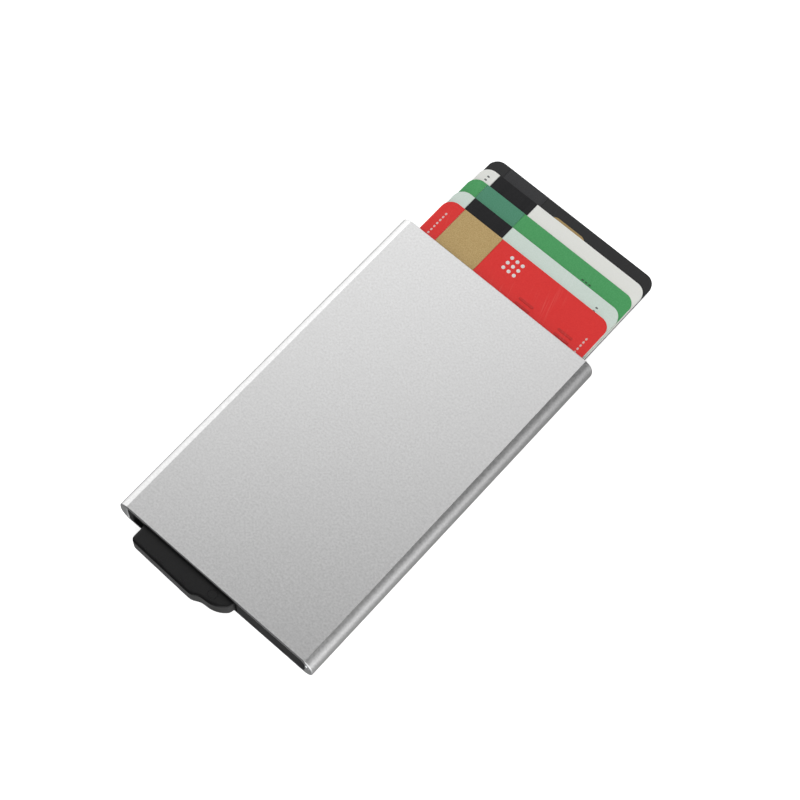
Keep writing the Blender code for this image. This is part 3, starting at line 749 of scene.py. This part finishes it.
def make_lever(surface):
    """The lever: its arm, and a thumb pad with soft edges and the faint ring of an ejector pin."""
    low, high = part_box("trigger_lever")
    low, high = [c - OVERRUN for c in low], [c + OVERRUN for c in high]
    arm = copy_node("trigger_lever", "trigger_lever_moulding")
    pad = copy_to(arm, "thumb_pad", (0, 0, 0))
    cut(arm, block("outside", low, (high[0], ARM_FROM, high[2])))
    cut(pad, block("inside", (low[0], PAD_UP_TO, low[2]), high))
    smooth(arm, MOULDING_SMOOTH)
    soften(pad)
    bpy.ops.object.select_all(action="DESELECT")
    bpy.ops.mesh.primitive_torus_add(location=EJECTOR_CENTRE, major_radius=EJECTOR_RADIUS,
                                     minor_radius=EJECTOR_GROOVE, major_segments=40,
                                     minor_segments=8)
    cut(pad, settle(bpy.context.active_object, "ejector_ring"))
    weld(pad)
    bpy.ops.object.shade_smooth_by_angle(angle=math.radians(MOULDING_SMOOTH))
    lever = join("trigger_lever_moulding", [arm, pad])
    hand_over(lever, "lever", surface, "lever_abs", "trigger_lever")


def make_pin(surface):
    """The dowel that the lever turns on."""
    pin = copy_node("pivot_pin", "pivot_pin_dowel")
    smooth(pin, PIN_SMOOTH)
    hand_over(pin, "holder", surface, "dowel_steel", "pivot_pin")


def make_felt_strips(surface):
    """Four strips from one: rounded, felted by a remesh, and lumpy from the press."""
    low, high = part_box("rear_left_felt")
    master = block("felt_strip", low, high)
    bevel(master, upright, FELT_CORNER, FELT_CORNER_STEPS)
    bevel(master, on_rim, FELT_RIM, SOFT_RIM_STEPS)
    take(master)
    apply_modifier(master, "felting", "REMESH", {"mode": "VOXEL", "voxel_size": FELT_VOXEL})
    lumps = bpy.data.textures.new("felt_lumps", "CLOUDS")
    lumps.noise_scale = FELT_LUMP
    apply_modifier(master, "pressing", "DISPLACE", {
        "texture": lumps, "texture_coords": "LOCAL", "strength": FELT_RELIEF,
        "mid_level": FELT_INWARDS})
    bpy.ops.object.shade_smooth()
    for node in ("front_left_felt", "front_right_felt", "rear_left_felt", "rear_right_felt"):
        strip = copy_to(master, node + "_strip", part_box(node)[0] - low)
        hand_over(strip, "holder", surface, "felt", node)
    bpy.data.objects.remove(master)


# Cards

def make_cards(surfaces):
    """Five laminates from one blank, each with the beds for its own stripe and chip."""
    low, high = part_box(CARDS[0])
    blank = block("card_blank", low, high)
    bevel(blank, upright, CARD_CORNER, CARD_CORNER_STEPS)
    bevel(blank, on_rim, CARD_RIM, RIM_STEPS)
    for card in CARDS:
        card_low, card_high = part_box(card)
        stripe_low, stripe_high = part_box(card + "_stripe")
        chip_low, chip_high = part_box(card + "_chip")
        laminate = copy_to(blank, card + "_laminate", card_low - low)
        bed = block(
            "stripe_bed",
            (stripe_low.x - INLAY_SIDE_GAP, card_low.y - OVERRUN, stripe_low.z - INLAY_BED_GAP),
            (stripe_high.x + INLAY_SIDE_GAP, card_high.y + OVERRUN, card_high.z + OVERRUN))
        pocket = block(
            "chip_pocket",
            (chip_low.x - INLAY_SIDE_GAP, chip_low.y - INLAY_SIDE_GAP, card_low.z - OVERRUN),
            (chip_high.x + INLAY_SIDE_GAP, chip_high.y + INLAY_SIDE_GAP,
             chip_high.z + INLAY_BED_GAP))
        bevel(pocket, upright, CHIP_CORNER + INLAY_SIDE_GAP, CHIP_CORNER_STEPS)
        cut(laminate, bed, pocket)
        smooth(laminate, CARD_SMOOTH)
        hand_over(laminate, card, surfaces[card], card.split("_")[0] + "_pvc", card)
    bpy.data.objects.remove(blank)


def make_stripes(surfaces):
    """Five magnetic stripes from one."""
    low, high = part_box(CARDS[0] + "_stripe")
    master = block("stripe", low, high)
    bevel(master, on_rim, INLAY_RIM, RIM_STEPS)
    smooth(master, CARD_SMOOTH)
    for card in CARDS:
        node = card + "_stripe"
        stripe = copy_to(master, card + "_magnetic_stripe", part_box(node)[0] - low)
        hand_over(stripe, card, surfaces[card], STRIPE_SLOTS[card], node)
    bpy.data.objects.remove(master)


def make_chips(surface):
    """Five contact chips from one: six pads and a middle field, parted by etched lines."""
    low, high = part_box(CARDS[0] + "_chip")
    master = block("chip", low, high)
    bevel(master, upright, CHIP_CORNER, CHIP_CORNER_STEPS)
    bevel(master, on_rim, INLAY_RIM, RIM_STEPS)
    middle = (low + high) / 2
    half = CHIP_LINE / 2
    below, etched = low.z - OVERRUN, low.z + CHIP_LINE_DEPTH
    for x, outer in ((middle.x - CHIP_LONG_LINE, low.x - OVERRUN),
                     (middle.x + CHIP_LONG_LINE, high.x + OVERRUN)):
        cut(master, block("column", (x - half, low.y - OVERRUN, below),
                          (x + half, high.y + OVERRUN, etched)))
        for side in (-1, 1):
            y = middle.y + side * (high.y - low.y) / (2 * CHIP_ROWS)
            cut(master, block("row", (min(x, outer), y - half, below),
                              (max(x, outer), y + half, etched)))
    smooth(master, CARD_SMOOTH)
    for card in CARDS:
        node = card + "_chip"
        chip = copy_to(master, card + "_contact_chip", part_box(node)[0] - low)
        hand_over(chip, card, surface, "chip_gold", node)
    bpy.data.objects.remove(master)


# Print on the cards

def make_dot_grid(surface):
    """A plain grid of nine dots on the red card."""
    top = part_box("red_card")[1].z
    depth = INK_THICK + INK_SUNK
    bpy.ops.object.select_all(action="DESELECT")
    bpy.ops.mesh.primitive_cylinder_add(
        vertices=32, radius=DOT_RADIUS, depth=depth,
        location=(*DOT_GRID_MIDDLE, top - INK_SUNK + depth / 2))
    dot = settle(bpy.context.active_object, "dot")
    bevel(dot, rim_above(top), INK_RIM, RIM_STEPS)
    places = [(column * DOT_PITCH, row * DOT_PITCH) for column in (-1, 0, 1) for row in (-1, 0, 1)]
    grid = spread(dot, places, "red_card_dot_grid")
    smooth(grid, CARD_SMOOTH)
    hand_over(grid, "red_card", surface, "white_pvc")


def make_dashes(name, card, surface, slot_name, size, rows):
    """Rows of short dashes in ink, from one dash."""
    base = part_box(card)[1].z - INK_SUNK
    dash = tile("dash", size, base, base + INK_SUNK + INK_THICK)
    bevel(dash, upright, min(size) * DASH_ROUNDING, DASH_CORNER_STEPS)
    places = [(x + number * step[0], y + number * step[1])
              for (x, y), step, count in rows for number in range(count)]
    printed = spread(dash, places, name)
    smooth(printed, CARD_SMOOTH)
    hand_over(printed, card, surface, slot_name)


def make_embossed_bars(surface):
    """Plain bars embossed in the red card, as a machine presses them from behind."""
    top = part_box("red_card")[1].z
    bar = tile("bar", BAR_SIZE, top - INK_SUNK, top + BAR_RISE)
    bevel(bar, upright, BAR_CORNER, BAR_CORNER_STEPS)
    bevel(bar, rim_above(top), BAR_RISE * BAR_ROUNDING, SOFT_RIM_STEPS)
    embossed = spread(bar, BAR_PLACES, "red_card_embossed_bars")
    smooth(embossed, BAR_SMOOTH)
    hand_over(embossed, "red_card", surface, "red_pvc")


def make_foil_patch(surface):
    """A plain foil patch on the black card, mostly behind the white card."""
    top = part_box("black_card")[1].z
    patch = block("black_card_foil_patch", (*FOIL_LOW, top - INK_SUNK),
                  (*FOIL_HIGH, top + INK_THICK))
    bevel(patch, upright, FOIL_CORNER, FOIL_CORNER_STEPS)
    bevel(patch, rim_above(top), INK_RIM, RIM_STEPS)
    smooth(patch, CARD_SMOOTH)
    hand_over(patch, "black_card", surface, "gold_stripe")


# Studio

def make_floor():
    """The pale table."""
    bpy.ops.object.select_all(action="DESELECT")
    bpy.ops.mesh.primitive_plane_add(size=FLOOR_SIZE, location=(0, 0, CAD_BOX[0][2] - FLOOR_GAP))
    floor = bpy.context.active_object
    floor.name = "studio_floor"
    surface, tree, shader, place = new_surface("white_acrylic_table", {
        "Roughness": 0.9, "Specular IOR Level": 0.1, "Emission Color": (1, 1, 1, 1),
        "Emission Strength": FLOOR_GLOW})
    # Its white varies a little over 0.4 m.
    cast = add_node(tree, "TexNoise", {}, {
        "Vector": place.outputs["Object"], "Scale": fineness(400), "Detail": 2})
    tone = add_node(tree, "Mix", OF_COLOURS, {
        SHARE: cast.outputs["Fac"], COLOUR_A: srgb("#F4F4F4"), COLOUR_B: srgb("#FAFAFA")})
    tree.links.new(tone.outputs[MIXED_COLOUR], shader.inputs["Base Color"])
    floor.data.materials.append(surface)
    # The table's glow whitens the picture and doesn't light the holder or show in it.
    floor.visible_glossy = False
    floor.visible_diffuse = False


def make_walls():
    """Dim walls with pale patches left, right and back, and the table's own light from below."""
    world = bpy.data.worlds.new("studio_walls")
    world.use_nodes = True
    walls = world.node_tree
    direction = add_node(walls, "TexCoord", {}, {}).outputs["Generated"]
    light = WALL_DIM
    for towards, starts, full, added in WALL_PATCHES:
        closeness = add_node(walls, "VectorMath", {"operation": "DOT_PRODUCT"}, {
            FIRST: direction, SECOND: towards})
        patch = add_node(walls, "MapRange", {}, {
            "Value": closeness.outputs["Value"], "From Min": starts, "From Max": full,
            "To Max": added})
        both = add_node(walls, "Math", {"operation": "ADD"}, {
            FIRST: light, SECOND: patch.outputs["Result"]})
        light = both.outputs["Value"]
    upward = add_node(walls, "SeparateXYZ", {}, {"Vector": direction})
    table = add_node(walls, "MapRange", {}, {
        "Value": upward.outputs["Z"], "From Min": TABLE_LIGHT_FULL, "From Max": TABLE_LIGHT_ENDS,
        "To Min": TABLE_LIGHT, "To Max": 0})
    whole = add_node(walls, "Math", {"operation": "ADD"}, {
        FIRST: light, SECOND: table.outputs["Result"]})
    background = walls.nodes["Background"]
    background.inputs["Color"].default_value = (1, 1, 1, 1)
    walls.links.new(whole.outputs["Value"], background.inputs["Strength"])
    bpy.context.scene.world = world


def make_softboxes():
    """Two soft lamps, each aimed at the holder."""
    for name, azimuth, elevation, distance, size, power in SOFTBOXES:
        a, e = math.radians(azimuth), math.radians(elevation)
        towards = Vector((math.cos(a) * math.cos(e), math.sin(a) * math.cos(e), math.sin(e)))
        lamp = bpy.data.lights.new(name, "AREA")
        lamp.shape = "RECTANGLE"
        lamp.size, lamp.size_y = size
        lamp.energy = power
        softbox = bpy.data.objects.new(name, lamp)
        bpy.context.scene.collection.objects.link(softbox)
        softbox.location = towards * distance
        softbox.rotation_euler = towards.to_track_quat("Z", "Y").to_euler()
        softbox.visible_camera = False


def make_camera():
    """A camera at the photo's own viewpoint, which shows colours as they are."""
    lens = bpy.data.cameras.new("photo_camera")
    lens.sensor_width = SENSOR_WIDTH
    lens.lens = FOCAL_PIXELS * SENSOR_WIDTH / PICTURE_PIXELS
    lens.clip_start = NEAREST_SEEN
    camera = bpy.data.objects.new("photo_camera", lens)
    bpy.context.scene.collection.objects.link(camera)
    turn = Matrix((CAMERA_RIGHT, CAMERA_UP, CAMERA_BACK)).transposed().to_4x4()
    camera.matrix_world = Matrix.Translation(CAMERA_PLACE) @ turn
    bpy.context.scene.camera = camera
    bpy.context.scene.view_settings.view_transform = "Standard"


make_camera()
make_floor()
make_walls()
make_softboxes()
make_sleeve(anodised_aluminium())
make_mouldings(moulded_abs())
make_lever(worn_lever_abs())
make_pin(ground_steel())
make_felt_strips(pressed_felt())
make_cards({card: laminated_pvc(card + "_laminated_pvc", *PRINTS[card]) for card in CARDS})
make_stripes({card: stripe_lacquer(card + "_lacquer", *LACQUERS[card]) for card in CARDS})
make_chips(gold_contacts())
inks = {name: silkscreen_ink(name, *tones) for name, tones in INKS.items()}
make_dot_grid(inks["white_silkscreen_ink"])
for name, (card, ink, slot_name, size, rows) in DASHES.items():
    make_dashes(name, card, inks[ink], slot_name, size, rows)
# The bars' print is painted shade: a darker red than the card's, darkest on their sides.
make_embossed_bars(laminated_pvc("shaded_embossed_red_pvc", *SHADED_BAR_PRINT))
make_foil_patch(stamped_gold_foil())
